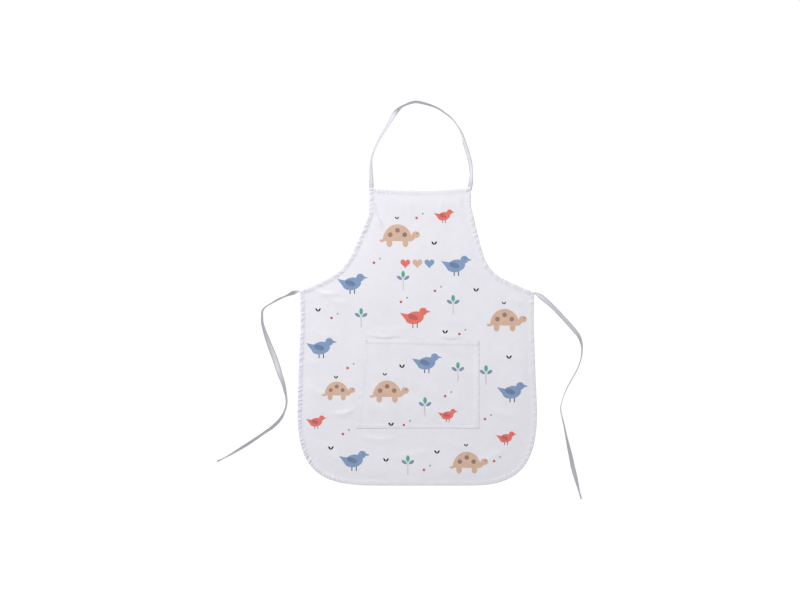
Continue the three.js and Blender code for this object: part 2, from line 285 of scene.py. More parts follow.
def textile(name, colour, tone, threads=1400.0, bump=0.25, roughness=0.9, sheen=0.25, mottle=45.0,
            speckle=0.0, ground=None, shade=None):
    """A woven finish. Colour drifts towards tone, speckle lets the ground show through ink, and where
    a piece has the attribute "shade" the finish takes on its shade colour."""
    material = bpy.data.materials.new(name)
    material.use_nodes = True
    tree = material.node_tree
    shader = tree.nodes["Principled BSDF"]
    set_inputs(shader, {"Roughness": roughness, "Sheen Weight": sheen, "Sheen Roughness": 0.6,
                        "Specular IOR Level": 0.25})
    place = tree.nodes.new("ShaderNodeUVMap")
    place.uv_map = CLOTH_MAP

    def group_node(group, values):
        node = tree.nodes.new("ShaderNodeGroup")
        node.node_tree = group
        connect(tree, (place, "UV", node, "Vector"))
        set_inputs(node, values)
        return node

    drift = group_node(mottle_group, {"Scale": mottle})
    shown = mix_node(tree, drift.outputs["Mask"], colour, tone)
    if speckle > 0:
        show = group_node(mottle_group, {"Scale": INK_SPECKLE_SCALE, "High": speckle})
        shown = mix_node(tree, show.outputs["Mask"], shown, ground)
    # The attribute "shade" mixes in painted shade on a tape, and the hem band's darker tint on the cloth.
    if shade is not None:
        where = tree.nodes.new("ShaderNodeAttribute")
        where.attribute_name = SHADE
        shown = mix_node(tree, where.outputs["Fac"], shown, shade)
    tree.links.new(shown, shader.inputs["Base Color"])

    weave = group_node(weave_group, {"Threads per metre": threads})
    relief = tree.nodes.new("ShaderNodeBump")
    set_inputs(relief, {"Strength": bump, "Distance": 0.0002})
    connect(tree, (weave, "Height", relief, "Height"), (relief, "Normal", shader, "Normal"))
    material.diffuse_color = (*colour, 1)
    return material


# %% The plain finishes
WHITE = (0.755, 0.75, 0.79)
WHITE_TONE = (0.73, 0.725, 0.765)
HEM_SHADE = (0.655, 0.645, 0.74)
# Painted shade on the tapes: the grey of their edges and of their on-edge stretches.
SELVEDGE_PAINTED_SHADE = (0.42, 0.41, 0.47)
white_cloth = textile("white cotton", WHITE, WHITE_TONE, shade=HEM_SHADE)
pocket_cotton = textile("white cotton pocket", WHITE, (0.725, 0.72, 0.76))
hem_cloth = textile("white cotton hem", (0.70, 0.69, 0.77), (0.66, 0.65, 0.73))
tape_weave = textile("white tape", (0.66, 0.655, 0.70), (0.58, 0.575, 0.62), threads=1000.0, bump=0.5,
                     roughness=0.8, mottle=90.0, shade=SELVEDGE_PAINTED_SHADE)
thread_finish = textile("white thread", (0.82, 0.81, 0.86), (0.72, 0.71, 0.77), threads=4000.0,
                        roughness=0.6, sheen=0.4, mottle=300.0)

# %% The printed inks
INKS = {
    "tan": ((0.64, 0.42, 0.30), (0.57, 0.37, 0.27)),
    "tan mark": ((0.03, 0.02, 0.022), (0.06, 0.035, 0.035)),
    "tan fleck": ((0.22, 0.13, 0.10), (0.30, 0.18, 0.14)),
    "blue": ((0.20, 0.30, 0.48), (0.16, 0.26, 0.43)),
    "blue shade": ((0.095, 0.155, 0.28), (0.12, 0.19, 0.33)),
    "blue mark": ((0.02, 0.035, 0.08), (0.035, 0.06, 0.11)),
    "red": ((0.75, 0.145, 0.11), (0.68, 0.12, 0.09)),
    "red shade": ((0.42, 0.075, 0.075), (0.50, 0.09, 0.08)),
    "red mark": ((0.11, 0.04, 0.06), (0.17, 0.06, 0.075)),
    "dot red": ((0.52, 0.05, 0.045), (0.60, 0.08, 0.07)),
    "green": ((0.035, 0.33, 0.20), (0.05, 0.38, 0.24)),
    "grey blue": ((0.16, 0.205, 0.33), (0.20, 0.25, 0.38)),
    "navy": ((0.004, 0.004, 0.02), (0.008, 0.008, 0.03)),
    "stem": ((0.30, 0.29, 0.36), (0.38, 0.37, 0.44)),
}
SOLID_INKS = ("navy", "tan mark", "blue mark", "red mark")
ink_names = list(INKS)
ink_finishes = [
    textile(f"{name} ink", *tones, roughness=0.85, sheen=0.0 if name in SOLID_INKS else 0.15,
            speckle=0.0 if name in SOLID_INKS else 0.1, ground=WHITE)
    for name, tones in INKS.items()
]
print("inks:", len(ink_finishes))

# %% [markdown]
# ## The tapes
# A neck tape and a waist tie are flat woven tapes of a fixed length. A limp tape on a table lies
# flat in some places and stands on its edge in others, where it turns to follow a bend. Each route
# is a list: where the tape goes, and how far it has turned up from flat, in degrees.
# Seen along the route, a minus sign means that the right edge has come up, and a plus the left one.
# The tape is built as a thin ribbon along that route with its lower edge always on the table.
# It could be a curve with a bevel, but a ribbon in mesh code keeps control of the turning.

# %% Routes of the three tapes, in mm and degrees
def in_metres(route):
    return [(x * MM, y * MM, turn) for x, y, turn in route]


NECK_TAPE_ROUTE = in_metres([
    (-125, 290, 0), (-125, 312, -30), (-126, 344, -45), (-125, 365, -60), (-121, 382, -64),
    (-114, 400, -63), (-100, 428, -58), (-87, 449, -45), (-72, 474, -28), (-62, 491, -8), (-51, 503, 40),
    (-39, 512, 68), (-20, 520, 64), (-1, 523.5, 58), (28, 517, 64), (53, 508, 74), (74, 495, 76),
    (95, 478, 80), (110, 459, 80), (123, 436, 70), (131, 409, 36), (139, 384, 33), (146, 354, 30),
    (149, 323, 42), (145.5, 292, 0),
])
LEFT_TIE_ROUTE = in_metres([
    (-326, 5, 0), (-341, 0, -45), (-359, -8, -74), (-378, -16, -72), (-397, -27, -78), (-415, -38, -80),
    (-423, -49, -74), (-424, -62, -73), (-423, -83, -65), (-418, -101, -58), (-411, -122, -42),
    (-402, -146, -30), (-392, -172, -8), (-383, -198, -6), (-375, -223, -30), (-366, -248, -48),
    (-359, -278, -70), (-357, -301, -76), (-363, -325, -72), (-375, -346, -58), (-395, -366, -54),
    (-418, -382, -62), (-441, -398, -60), (-462, -412, -57), (-483, -425, -60), (-501, -436, -68),
    (-520, -447, -76), (-535, -454.5, -78), (-547, -460, -75),
])
RIGHT_TIE_ROUTE = in_metres([
    (325, -1, 0), (341, -11, -20), (369, -35, -36), (400, -67, -38), (430, -101, -40), (444, -120, -48),
    (451, -145, -66), (450, -172, -74), (442, -200, -76), (430, -224, -76), (416, -249, -76),
    (404, -274, -78), (396, -298, -80), (393, -316, -78), (396, -335, -76), (403, -365, -70),
    (409, -395, -63), (415, -422, -50), (421, -448, -42), (426, -473, -37), (433, -500, -42),
    (440, -527, -60), (444, -543, -70), (449, -563, -76),
])

# %% The ribbon maker
TIE_WIDTH = 15 * MM
NECK_TAPE_WIDTH = 12 * MM
TAPE_THICKNESS = 0.8 * MM
TAPE_STEP = 2.5 * MM
TABLE_GAP = 0.15 * MM
ON_EDGE_SHADE = 0.6
TURN_SCALE = 1000
# Places across the tape, from one selvedge to the other, and how thick it is at each.
ACROSS = np.array([-1, -0.93, -0.78, -0.45, 0, 0.45, 0.78, 0.93])
PLUMP = np.array([0.0, 0.95, 0.80, 0.9, 1.0, 0.9, 0.80, 0.95])


def tape_stations(route):
    """Even stations along the route, and the direction that the tape takes at each. Turns are made
    small meanwhile, so that they hardly count as distance."""
    stations = evenly(smooth_line([(x, y, turn / TURN_SCALE) for x, y, turn in route], 12), TAPE_STEP)
    stations[:, 2] *= TURN_SCALE
    return stations, unit(np.gradient(stations[:, :2], axis=0))


def ribbon(name, route, width_at, thickness=TAPE_THICKNESS, beside=0.0):
    """A flat tape along the route, turned as the route says. Returns the piece and its centre line."""
    stations, along = tape_stations(route)
    travelled = lengths_along(stations[:, :2])
    turn = np.radians(stations[:, 2])
    half = width_at(travelled) / 2
    # Around the section: over the top from one selvedge, then back underneath.
    across = np.concatenate([ACROSS, -ACROSS])
    up = np.concatenate([PLUMP, -PLUMP]) * thickness / 2 + beside
    side = left_of(along)
    sideways = half[:, None] * across * np.cos(turn)[:, None] - up * np.sin(turn)[:, None]
    height = half[:, None] * across * np.sin(turn)[:, None] + up * np.cos(turn)[:, None]
    rise = TABLE_GAP - height.min(axis=1)
    points = np.dstack([
        stations[:, 0, None] + side[:, 0, None] * sideways,
        stations[:, 1, None] + side[:, 1, None] * sideways,
        height + rise[:, None],
    ]).reshape(-1, 3)
    ring = len(across)
    piece = make_piece(name, points, tube_faces(len(stations), ring), tape_weave)
    set_flat_places(piece, np.column_stack([np.repeat(travelled, ring), (half[:, None] * across).ravel()]))
    # Painted shade: darker along both edges, where a folded tape shades itself, and greyer where the tape
    # stands on edge, from a smaller turn where it has turned towards the lamp.
    selvedge = smoothstep(0.5, 0.86, np.abs(across))
    away = smoothstep(0.8, 0.92, np.sin(turn))
    towards = smoothstep(0.25, 0.9, -np.sin(turn))
    on_edge = ON_EDGE_SHADE * np.maximum(away, towards)
    set_shade(piece, np.maximum(selvedge, on_edge[:, None]).ravel())
    centre = np.column_stack([stations[:, :2], rise])
    return piece, centre


# %% Neck tape and waist ties
TIE_ROOT_SHARE = 0.35
TIE_ROOT_LENGTH = 24 * MM
NECK_IN_SEAM = 9 * MM
TIE_IN_SEAM = 4 * MM


def tie_width(travelled):
    """A tie leaves its seam pleated narrow and opens to its full width."""
    opened = smoothstep(0, TIE_ROOT_LENGTH, travelled)
    return TIE_WIDTH * (TIE_ROOT_SHARE + (1 - TIE_ROOT_SHARE) * opened)


def same_width(width):
    """The width of a tape that is as wide all the way along."""
    return lambda travelled: np.full_like(travelled, width)


def into_seam(route, depth):
    """The route with its first end carried on into the seam that holds it."""
    (x0, y0, _), (x1, y1, _) = route[:2]
    reach = math.hypot(x0 - x1, y0 - y1)
    return [(x0 + (x0 - x1) * depth / reach, y0 + (y0 - y1) * depth / reach, 0), *route]


neck_route = into_seam(into_seam(NECK_TAPE_ROUTE, NECK_IN_SEAM)[::-1], NECK_IN_SEAM)[::-1]
neck_tape, neck_line = ribbon("neck_tape_soft", neck_route, same_width(NECK_TAPE_WIDTH))
tapes = {}
for side, route in (("left", LEFT_TIE_ROUTE), ("right", RIGHT_TIE_ROUTE)):
    tapes[side] = ribbon(f"{side}_waist_tie_soft", into_seam(route, TIE_IN_SEAM), tie_width)
for label, line in (("neck tape", neck_line), *((f"{side} tie", tapes[side][1]) for side in tapes)):
    print(label, "length, m:", round(lengths_along(line[:, :2])[-1], 3))

# %% [markdown]
# ## The cut of the body
# The places of the hem line and the bib's top come from the frame. Between the bib and the waist each
# armhole is one S-shaped curve, each lower corner is one long curve, and the bib's top sags a little.

# %% The outline, counterclockwise from the right waist corner
bib_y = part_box("bib_top_hem")[1].y
hem_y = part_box("bottom_hem")[0].y
# The curves' ends, and their handles: out and down at the bib, in and up at the waist.
ARMHOLES = {
    "left": {"bib": (-0.1315, bib_y - 2 * MM), "start_y": 0.217, "waist": (-0.321, 0.006),
             "bib_pull": (-0.060, -0.136), "waist_pull": (0.142, 0.055)},
    "right": {"bib": (0.148, bib_y), "start_y": 0.239, "waist": (0.321, 0.002),
              "bib_pull": (0.045, -0.193), "waist_pull": (-0.140, 0.059)},
}
BIB_TOP_PULL = (0.025, bib_y - 17.5 * MM)
SIDES = {"left": [(-0.319, -0.080), (-0.324, -0.205)], "right": [(0.320, -0.080), (0.324, -0.205)]}
# Where each lower corner starts and ends, and its two handles: down the side and out along the bottom.
CORNERS = {
    "left": {"side": (-0.3275, -0.330), "bottom_x": -0.100, "side_pull": 0.180, "bottom_pull": -0.140},
    "right": {"side": (0.329, -0.320), "bottom_x": 0.150, "side_pull": 0.140, "bottom_pull": 0.140},
}
OUTLINE_STEP = 2.4 * MM


def bezier(a, b, c, d, steps=60):
    t = np.linspace(0, 1, steps + 1)[:, None]
    a, b, c, d = (np.array(p, float) for p in (a, b, c, d))
    return (1 - t) ** 3 * a + 3 * (1 - t) ** 2 * t * b + 3 * (1 - t) * t**2 * c + t**3 * d


def armhole(bib, start_y, waist, bib_pull, waist_pull):
    """From the bib's corner down to the waist corner."""
    start = np.array((bib[0], start_y))
    curve = bezier(start, start + bib_pull, np.array(waist) + waist_pull, waist)
    return np.vstack([[bib], curve])


def corner(side, bottom_x, side_pull, bottom_pull):
    """A lower corner, from the side down to the bottom."""
    return bezier(side, (side[0], side[1] - side_pull), (bottom_x + bottom_pull, hem_y), (bottom_x, hem_y))


left_armhole = armhole(**ARMHOLES["left"])
right_armhole = armhole(**ARMHOLES["right"])[::-1]
# A sag with one handle is the same curve as one with two, each two thirds of the way to it.
bib_ends = np.array([ARMHOLES["right"]["bib"], ARMHOLES["left"]["bib"]])
bib_handles = bib_ends + (np.array(BIB_TOP_PULL) - bib_ends) * 2 / 3
bib_edge = bezier(bib_ends[0], *bib_handles, bib_ends[1])
left_corner, right_corner = corner(**CORNERS["left"]), corner(**CORNERS["right"])[::-1]
stretches = {
    "right_armhole": right_armhole,
    "bib_top": bib_edge,
    "left_armhole": left_armhole,
    "left_side": smooth_line([left_armhole[-1], *SIDES["left"], left_corner[0]], 12),
    "bottom": np.vstack([left_corner, right_corner]),
    "right_side": smooth_line([right_corner[-1], *SIDES["right"][::-1], right_armhole[0]], 12),
}
stretches = {name: evenly(line, OUTLINE_STEP) for name, line in stretches.items()}
outline = np.vstack([line[:-1] for line in stretches.values()])
stretch_start = dict(zip(stretches, np.cumsum([0] + [len(line) - 1 for line in stretches.values()])))
print("outline points:", len(outline))

# %% Distances from an edge
def inset(loop, distance):
    """The closed loop moved inwards, point for point, with mitred corners."""
    before = unit(loop - np.roll(loop, 1, axis=0))
    after = unit(np.roll(loop, -1, axis=0) - loop)
    inward = unit(left_of(before + after))
    cosine = inward[:, 1] * after[:, 0] - inward[:, 0] * after[:, 1]
    return loop + inward * (distance / cosine)[:, None]


def near_edge(points, loop):
    """For each point, its distance from the closed loop, and how far along the loop that is."""
    start, end = loop, np.roll(loop, -1, axis=0)
    way = end - start
    size = np.linalg.norm(way, axis=1)
    travelled = np.concatenate([[0], np.cumsum(size)[:-1]])
    distances, places = [], []
    for some in np.array_split(points, max(1, len(points) // 2000)):
        offset = some[:, None] - start[None]
        t = np.clip((offset * way).sum(2) / size**2, 0, 1)
        apart = np.linalg.norm(offset - t[:, :, None] * way, axis=2)
        best = apart.argmin(axis=1)
        rows = np.arange(len(some))
        distances.append(apart[rows, best])
        places.append((travelled + t * size)[rows, best])
    return np.concatenate(distances), np.concatenate(places)


# %% [markdown]
# ## The height of the cloth
# Three things lift the cloth off the table. A hem has two more layers folded under it. Sewing draws
# the edge up a little, so the hem ripples crosswise between its edge and its stitches. And the
# apron was folded and handled, so it has soft creases and a gentle overall waviness.
# Noise is made from sines with fixed random phases, so it is the same each time the script runs.

# %% Ingredients of the height
HEM_WIDTH = 11 * MM
CLOTH_THICKNESS = 0.45 * MM
LAYER = 0.5 * MM
HEM_STEP = 0.75 * MM
EDGE_ROUND = 3.2 * MM
EDGE_DROP = 1.1 * MM
REST_HEIGHT = 1.0 * MM
SLANT = 0.45
random = np.random.default_rng(12)


def wander(count, longest, shortest):
    """A smooth random function of one length, about -1 to 1, with waves between two lengths."""
    waves = np.geomspace(longest, shortest, count)
    phases = random.uniform(0, 2 * np.pi, count)

    def value(s):
        total = sum(np.sin(2 * np.pi * s / w + p) for w, p in zip(waves, phases))
        return total / math.sqrt(count)

    return value


strength_drift = wander(5, 190 * MM, 30 * MM)
spacing_drift = wander(4, 120 * MM, 30 * MM)
# How the stitching puckers the edge: for places along the stretches, how steep the ripples are there
# (rise over run), how far apart they are in mm, and how strong the hem band's darker tint and its step are.
PUCKER = [
    ("right_armhole", 0.2, 0.22, 19, 0.35), ("right_armhole", 0.75, 0.26, 16, 0.35),
    ("bib_top", 0.35, 0.08, 16, 0.05), ("bib_top", 0.8, 0.34, 12, 0.2),
    ("left_armhole", 0.1, 0.34, 14, 0.75), ("left_armhole", 0.6, 0.28, 19, 0.5),
    ("left_side", 0.2, 0.26, 16, 0.8), ("left_side", 0.8, 0.30, 14, 0.85),
    ("bottom", 0.08, 0.60, 11, 0.7), ("bottom", 0.22, 0.85, 9.5, 0.35), ("bottom", 0.29, 0.20, 12, 0.1),
    ("bottom", 0.7, 0.13, 14, 0.1), ("bottom", 0.9, 0.16, 15, 0.25), ("right_side", 0.5, 0.06, 20, 0.2),
]

# Long low waves over the whole cloth: how long and how high each is, in mm. Their headings and
# phases are random.
WAVE_SIZES = ((420, 0.9), (300, 0.8), (210, 0.7), (150, 0.55), (105, 0.4), (80, 0.3), (58, 0.2))
WAVES = [(random.uniform(0, np.pi), random.uniform(0, 2 * np.pi), length * MM, lift * MM)
         for length, lift in WAVE_SIZES]

# Creases: where each starts and ends, its height, and how wide it is on its two sides, all in mm.
CREASES = [
    (-122, 262, -96, 178, 3.6, 4, 13), (-140, -114, -42, -117, 1.3, 10, 3.5),
    (62, -117, 120, -120, 1.2, 10, 3.5), (-150, 238, -128, 160, 1.4, 7, 7), (62, 262, 84, 190, 0.9, 7, 10),
    (146, 236, 168, 140, 1.3, 5, 9), (112, 270, 138, 214, 0.8, 6, 8), (-20, 262, -8, 200, 0.7, 9, 9),
    (-292, 14, -216, -3, 1.9, 4, 8), (-255, -8, -180, -30, 0.9, 7, 12), (-246, 62, -190, 30, 1.0, 6, 9),
    (250, -2, 296, -30, 1.0, 6, 10), (-230, -330, -172, -318, 1.6, 5, 9),
    (-312, -240, -246, -284, 1.2, 8, 14), (-318, -170, -262, -196, 0.9, 8, 12),
    (-160, -392, -58, -398, 1.0, 6, 10), (-60, -446, 40, -430, 0.9, 8, 12),
    (60, -402, 160, -424, 0.8, 8, 14), (150, -470, 240, -430, 0.9, 9, 13), (-60, -508, 60, -503, 0.9, 5, 8),
    (200, -140, 290, -190, 0.8, 9, 16), (190, -310, 270, -338, 0.9, 8, 14),
    (-120, -100, -10, -92, 0.7, 6, 11), (40, -60, 130, -84, 0.6, 9, 13),
    (-300, -96, -214, -120, 0.8, 8, 12), (-262, -404, -196, -470, 1.0, 8, 12),
]


def hem_tone(along):
    """How strong the hem band is along the edge: how dark its tint is, and how high its step."""
    return np.interp(along, pucker_places, pucker_tone, period=outline_length)


def hem_profile(distance, along):
    """The soft step at the hem line, and the edge's own rounding over the outermost millimetres."""
    step = HEM_STEP * (0.45 + 0.55 * hem_tone(along)) * (1 + 0.3 * strength_drift(along + 1))
    inner = smoothstep(HEM_WIDTH - 1.2 * MM, HEM_WIDTH + 2.8 * MM, distance)
    away = np.clip(1 - distance / EDGE_ROUND, 0, 1)
    return step * (1 - inner) - EDGE_DROP * (1 - np.sqrt(1 - away**2))


outline_length = lengths_along(np.vstack([outline, outline[:1]]))[-1]
sizes = {name: lengths_along(line)[-1] for name, line in stretches.items()}
starts = dict(zip(sizes, np.cumsum([0, *sizes.values()])))
pucker_places = [starts[name] + share * sizes[name] for name, share, *_ in PUCKER]
pucker_steep, pucker_length, pucker_tone = np.array([row[2:] for row in PUCKER]).T
# Ripples get closer or wider along the edge, so their phase adds up step by step.
phase_grid = np.linspace(0, outline_length, 3000)
ripple_length = np.interp(phase_grid, pucker_places, pucker_length * MM, period=outline_length)
phase_sum = np.cumsum(2 * np.pi / ripple_length) * (phase_grid[1] - phase_grid[0])


def ripples(distance, along, ease=1.0):
    """Short slanting ridges across a stitched edge, as high as their length and steepness make them."""
    place = (along + SLANT * distance) % outline_length
    phase = np.interp(place, phase_grid, phase_sum) + 1.6 * spacing_drift(along)
    steep = np.interp(along, pucker_places, pucker_steep, period=outline_length) * ease
    crest = steep * np.interp(along, phase_grid, ripple_length) / np.pi
    crest = crest * np.clip(0.9 + 0.35 * strength_drift(along), 0.35, None)
    reach = np.exp(-(((distance - 5 * MM) / (6.5 * MM)) ** 2))
    long_reach = 0.25 * np.exp(-((distance / (24 * MM)) ** 2)) * np.sin(phase / 2.3) ** 2
    return crest * (reach * (0.5 + 0.5 * np.sin(phase)) + long_reach)


CREASE_BEND = 5 * MM


def creases(points):
    """Soft ridges, each a little bent, with two flanks of their own width."""
    total = np.zeros(len(points))
    for x0, y0, x1, y1, lift, left, right in CREASES:
        start = np.array((x0, y0)) * MM
        way = np.array((x1, y1)) * MM - start
        size = np.linalg.norm(way)
        way /= size
        offset = points - start
        t = (offset @ way) / size
        apart = offset @ np.array((-way[1], way[0])) + CREASE_BEND * np.sin(np.pi * t) ** 2
        wide = np.where(apart > 0, left, right) * MM
        ends = smoothstep(-0.15, 0.35, t) * smoothstep(1.15, 0.65, t)
        total += lift * MM * ends * np.exp(-((apart / wide) ** 2))
    return total


def crease_guides():
    """Rows of points along each crease, close enough to hold its shape."""
    rows = []
    for x0, y0, x1, y1, _, left, right in CREASES:
        start, way = np.array((x0, y0)) * MM, np.array((x1 - x0, y1 - y0)) * MM
        size = np.linalg.norm(way)
        t = np.arange(-0.12, 1.12, 4 * MM / size)[:, None]
        normal = np.array((-way[1], way[0])) / size
        ridge = start + t * way - normal * CREASE_BEND * np.sin(np.pi * t) ** 2
        offsets = (-1.1 * right, -0.55 * right, 0, 0.55 * left, 1.1 * left)
        rows += [ridge + normal * MM * offset for offset in offsets]
    return np.vstack(rows)


def waviness(points):
    total = np.zeros(len(points))
    for heading, phase, length, lift in WAVES:
        run = points @ np.array((math.cos(heading), math.sin(heading)))
        total += lift * (0.5 + 0.5 * np.sin(2 * np.pi * run / length + phase))
    return total


# %% The height function
TAPE_LUMP = 0.7 * MM
LUMP_REACH = 11 * MM
tape_roots = [NECK_TAPE_ROUTE[0][:2], NECK_TAPE_ROUTE[-1][:2]]


def cloth_height(points):
    """Height of the cloth's upper face at these places on the body."""
    distance, along = near_edge(points, outline)
    settled = smoothstep(0, 45 * MM, distance)
    lump = sum(np.exp(-((np.linalg.norm(points - root, axis=1) / LUMP_REACH) ** 2)) for root in tape_roots)
    height = (REST_HEIGHT + hem_profile(distance, along) + ripples(distance, along)
              + creases(points) * (0.4 + 0.6 * settled) + waviness(points) * (0.25 + 0.75 * settled)
              + TAPE_LUMP * lump)
    return np.maximum(height, CLOTH_THICKNESS + TABLE_GAP)


def hem_shade(points):
    """How much of the hem band's darker tint each place has."""
    distance, along = near_edge(points, outline)
    inner = smoothstep(HEM_WIDTH - 1.5 * MM, HEM_WIDTH + 1.5 * MM, distance)
    return (1 - inner) * hem_tone(along) * np.clip(0.85 + 0.25 * spacing_drift(along), 0, 1)


sample = cloth_height(outline)
print("edge height, mm: lowest", round(sample.min() / MM, 2), "highest", round(sample.max() / MM, 2))

# %% [markdown]
# ## The print
# The print is part of the cloth, so it is not a layer above it: the outline of each motif is drawn
# into the sheet's own triangles, and the faces inside it get an ink finish. That gives clean edges
# at any distance and needs no picture. The motifs are plain pictograms made of ellipses and short
# polygons: tortoises, birds, sprouts, leaf pairs, dots and hearts. Each is drawn once, in units of
# its own width, and repeated by a loop.

# %% Motif shapes, each in units of its own width
def ellipse(x, y, wide, high, turn=0.0, count=14):
    angles = np.linspace(0, 2 * np.pi, count, endpoint=False)
    flat = np.column_stack([wide / 2 * np.cos(angles), high / 2 * np.sin(angles)])
    c, s = math.cos(math.radians(turn)), math.sin(math.radians(turn))
    return flat @ np.array([[c, s], [-s, c]]) + (x, y)


def tortoise(ink):
    """A half-round shell with three round spots, a head and neck, two legs and a tail."""
    angles = np.linspace(0, np.pi, 18)
    shell = np.column_stack([0.44 + 0.37 * np.cos(angles), 0.14 + 0.42 * np.sin(angles)])
    limbs = [ellipse(0.90, 0.30, 0.20, 0.17), ellipse(0.80, 0.22, 0.24, 0.13, 40),
             ellipse(0.24, 0.09, 0.15, 0.20), ellipse(0.64, 0.09, 0.15, 0.20),
             ellipse(0.05, 0.15, 0.12, 0.07)]
    spots = [ellipse(x, y, 0.12, 0.12) for x, y in ((0.26, 0.30), (0.44, 0.41), (0.62, 0.30))]
    eye = ellipse(0.93, 0.33, 0.03, 0.03, count=8)
    return ([(ink, limb) for limb in limbs] + [(ink, shell)] + [(f"{ink} fleck", spot) for spot in spots]
            + [(f"{ink} mark", eye)])


def bird(ink):
    """An oval body, a round head, a three-cornered tail and bill, a darker wing and two legs."""
    tail = np.array([(0.0, 0.48), (0.22, 0.20), (0.32, 0.42)])
    bill = np.array([(0.84, 0.57), (0.84, 0.47), (0.99, 0.51)])
    legs = [np.array([(x, 0.0), (x + 0.03, 0.0), (x + 0.03, 0.16), (x, 0.16)]) for x in (0.40, 0.54)]
    body = ellipse(0.47, 0.32, 0.60, 0.40, 12, count=24)
    head = ellipse(0.74, 0.52, 0.25, 0.25, count=18)
    wing = ellipse(0.42, 0.34, 0.34, 0.17, -18)
    eye = ellipse(0.77, 0.55, 0.03, 0.03, count=8)
    return ([(f"{ink} mark", leg) for leg in legs] + [(ink, shape) for shape in (tail, bill, body, head)]
            + [(f"{ink} shade", wing), (f"{ink} mark", eye)])


def sprout():
    """A thin stem with two side leaves and one on top."""
    stem = np.array([(-0.02, -0.95), (0.02, -0.95), (0.02, 0.05), (-0.02, 0.05)])
    sides = [("grey blue", ellipse(0.28 * side, 0.0, 0.46, 0.24, 35 * side)) for side in (-1, 1)]
    return [("stem", stem)] + sides + [("green", ellipse(0.0, 0.28, 0.28, 0.50))]


def leaf_pair():
    """Two small leaves in a V."""
    return [("navy", ellipse(0.27 * side, 0.0, 0.34, 0.80, -35 * side, count=12)) for side in (-1, 1)]


def dot_pair():
    """A red dot, and a smaller green one up and to its right."""
    return [("dot red", ellipse(0, 0, 1, 1, count=12)), ("green", ellipse(2.2, 1.5, 0.66, 0.66, count=10))]


def heart(ink):
    t = np.linspace(0, 2 * np.pi, 36, endpoint=False)
    x = 16 * np.sin(t) ** 3
    y = 13 * np.cos(t) - 5 * np.cos(2 * t) - 2 * np.cos(3 * t) - np.cos(4 * t)
    return [(ink, np.column_stack([x, y])[::-1] / 34)]


# %% Where each motif is printed, in mm: its place and its width
TORTOISES = [(-102, 127, 110), (192, -104, 109), (-260, -293, 91), (-129, -299, 107), (90, -493, 105)]
BLUE_BIRDS = [(66, 47, 86), (-219, -2, 86), (-304, -178, 86), (-14, -219, 84), (219, -299, 86),
              (-214, -487, 86)]
RED_BIRDS = [(46, 192, 58), (-47, -95, 86), (57, -353, 56), (-304, -372, 58), (216, -416, 58)]
SPROUTS = [(-38, 42), (99, -24), (-153, -60), (112, -208), (189, -216), (22, -304), (-25, -463)]
LEAF_PAIRS = [(47, 137), (162, 9), (-271, -46), (77, -106), (-41, -200), (252, -175), (-71, -359),
              (-236, -424), (-85, -457), (55, -435)]
SMALL_LEAF_PAIRS = [(-55, 206), (238, -27), (-222, -230), (-88, -222), (134, -416)]
DOTS = [(-1, 206), (-118, 83), (49, 6), (-44, -24), (-234, -68), (116, -112), (-190, -205), (77, -282),
        (186, -345), (-203, -386), (-36, -361), (19, -484), (211, -460)]
HEARTS = [("red", -32), ("tan", 1), ("blue", 34)]
HEARTS_Y = 82
SPROUT_WIDTH, PAIR_WIDTH, SMALL_PAIR_WIDTH, DOT_WIDTH, HEART_WIDTH = 36, 14, 10.5, 7.6, 29


def placed(shapes, x, y, width):
    """A motif's shapes moved to their place on the cloth, in metres."""
    return [(ink, (shape * width + (x, y)) * MM) for ink, shape in shapes]


SIZED = ((tortoise("tan"), TORTOISES), (bird("blue"), BLUE_BIRDS), (bird("red"), RED_BIRDS))
ALIKE = ((sprout(), SPROUTS, SPROUT_WIDTH), (leaf_pair(), LEAF_PAIRS, PAIR_WIDTH),
         (leaf_pair(), SMALL_LEAF_PAIRS, SMALL_PAIR_WIDTH), (dot_pair(), DOTS, DOT_WIDTH))
motifs = [placed(shapes, *place) for shapes, places in SIZED for place in places]
motifs += [placed(shapes, *place, width) for shapes, places, width in ALIKE for place in places]
motifs += [placed(heart(ink), x, HEARTS_Y, HEART_WIDTH) for ink, x in HEARTS]
print("motifs:", len(motifs), "shapes:", sum(len(shapes) for shapes in motifs))

# %% [markdown]
# ## From outline to sheet
# A constrained triangulation takes the outline, rings just inside it, an even grid and every motif's
# outline, and gives triangles whose edges follow them all. Each triangle knows which shapes it lies
# in, so the last one it lies in gives it its ink. The flat sheet is then lifted to the cloth's
# height, and a second skin just below closes it into a thin solid with a real edge.

# %% The sheet maker
def signed_area(loop):
    """The area of a closed loop, positive if it runs counterclockwise."""
    ahead = np.roll(loop, -1, axis=0)
    return 0.5 * (loop[:, 0] * ahead[:, 1] - loop[:, 1] * ahead[:, 0]).sum()


def inside(points, loop):
    """Which points lie inside a closed loop."""
    x, y = points[:, 0, None], points[:, 1, None]
    x0, y0 = loop[:, 0], loop[:, 1]
    x1, y1 = np.roll(x0, -1), np.roll(y0, -1)
    crosses = (y0 > y) != (y1 > y)
    reach = x0 + (y - y0) * (x1 - x0) / np.where(y1 == y0, 1, y1 - y0)
    return (crosses & (x < reach)).sum(axis=1) % 2 == 1


def grid_inside(loop, step, margin):
    """Points of a triangular grid that lie well inside a loop."""
    low, high = loop.min(axis=0), loop.max(axis=0)
    rows = np.arange(low[1], high[1], step * 0.87)
    grid = np.array([(x + (i % 2) * step / 2, y) for i, y in enumerate(rows)
                     for x in np.arange(low[0], high[0], step)])
    grid = grid[inside(grid, loop)]
    return grid[near_edge(grid, loop)[0] > margin]


